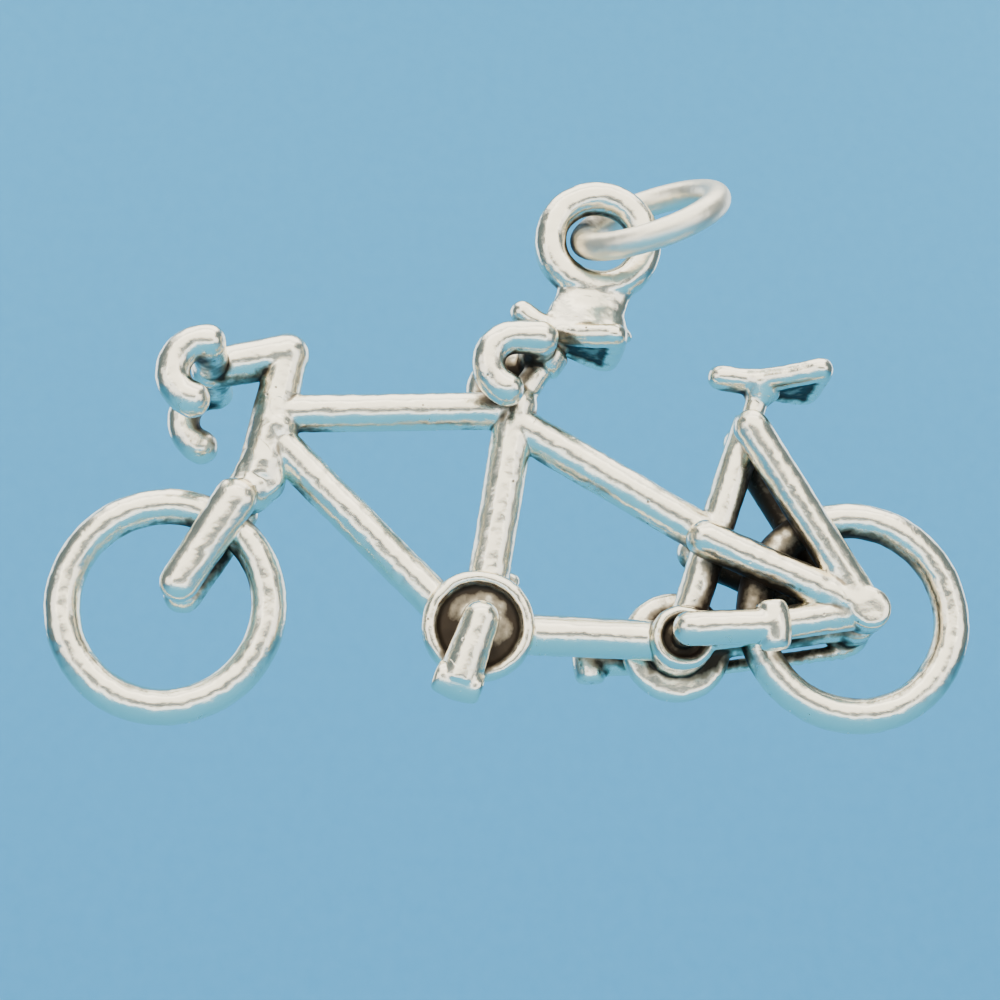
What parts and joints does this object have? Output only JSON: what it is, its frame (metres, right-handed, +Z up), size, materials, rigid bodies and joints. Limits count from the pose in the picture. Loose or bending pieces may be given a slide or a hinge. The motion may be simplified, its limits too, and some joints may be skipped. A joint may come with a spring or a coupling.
{
  "type": "tandem bicycle charm",
  "caption": "Silver charm of a two-seat bicycle with drop handlebars, turning pedal cranks, and a loop with a jump ring on the front saddle to hang it from a bracelet.",
  "frame": {"origin": "centre of the bail's eye, on the charm's middle plane", "axes": "+X from the front wheel to the rear wheel, +Y from the rider's left to the rider's right, +Z up from the wheels to the saddles"},
  "size_m": [0.0258, 0.0054, 0.0168],
  "materials": {
    "silver": "sterling silver, cast surface, antiqued and polished on the high spots",
    "silver_ring": "sterling silver wire, soft polish"
  },
  "bodies": {
    "bicycle": {"head_tube": "silver", "top_tube": "silver", "down_tube": "silver", "front_seat_tube": "silver", "boom_tube": "silver", "lateral_tube": "silver", "rear_seat_tube": "silver", "twin_lateral_left": "silver", "twin_lateral_right": "silver", "seatstay_left": "silver", "seatstay_right": "silver", "chainstay_left": "silver", "chainstay_right": "silver", "dropout_left": "silver", "dropout_right": "silver", "rear_sprocket": "silver", "chain": "silver", "front_crank_shell": "silver", "front_timing_dish": "silver", "rear_crank_shell": "silver", "rear_drive_dish": "silver", "fork_crown": "silver", "fork_blade_left": "silver", "fork_blade_right": "silver", "front_wheel": "silver", "rear_wheel": "silver", "stem": "silver", "front_handlebar": "silver", "stoker_collar": "silver", "stoker_handlebar": "silver", "front_seat_post": "silver", "rear_seat_post": "silver", "front_saddle": "silver", "rear_saddle": "silver", "bail_ring": "silver", "bail_foot": "silver"},
    "front_crankset": {"front_axle": "silver", "front_crank_left": "silver", "front_crank_right": "silver", "front_pedal_left": "silver", "front_pedal_right": "silver"},
    "rear_crankset": {"rear_axle": "silver", "rear_crank_left": "silver", "rear_crank_right": "silver", "rear_pedal_left": "silver", "rear_pedal_right": "silver"},
    "ring": {"jump_ring": "silver_ring"}
  },
  "joints": [
    {"name": "front_crank_spin", "type": "hinge", "parent": "bicycle", "child": "front_crankset", "pos_m": [-0.00355, 0, -0.01176], "axis": [0, 1, 0], "continuous": true},
    {"name": "rear_crank_spin", "type": "hinge", "parent": "bicycle", "child": "rear_crankset", "pos_m": [0.00215, 0, -0.01196], "axis": [0, 1, 0], "continuous": true},
    {"name": "jump_ring_swing", "type": "hinge", "parent": "bicycle", "child": "ring", "pos_m": [0, 0, 0], "axis": [0, 1, 0], "range_deg": [-180, 70]}
  ]
}
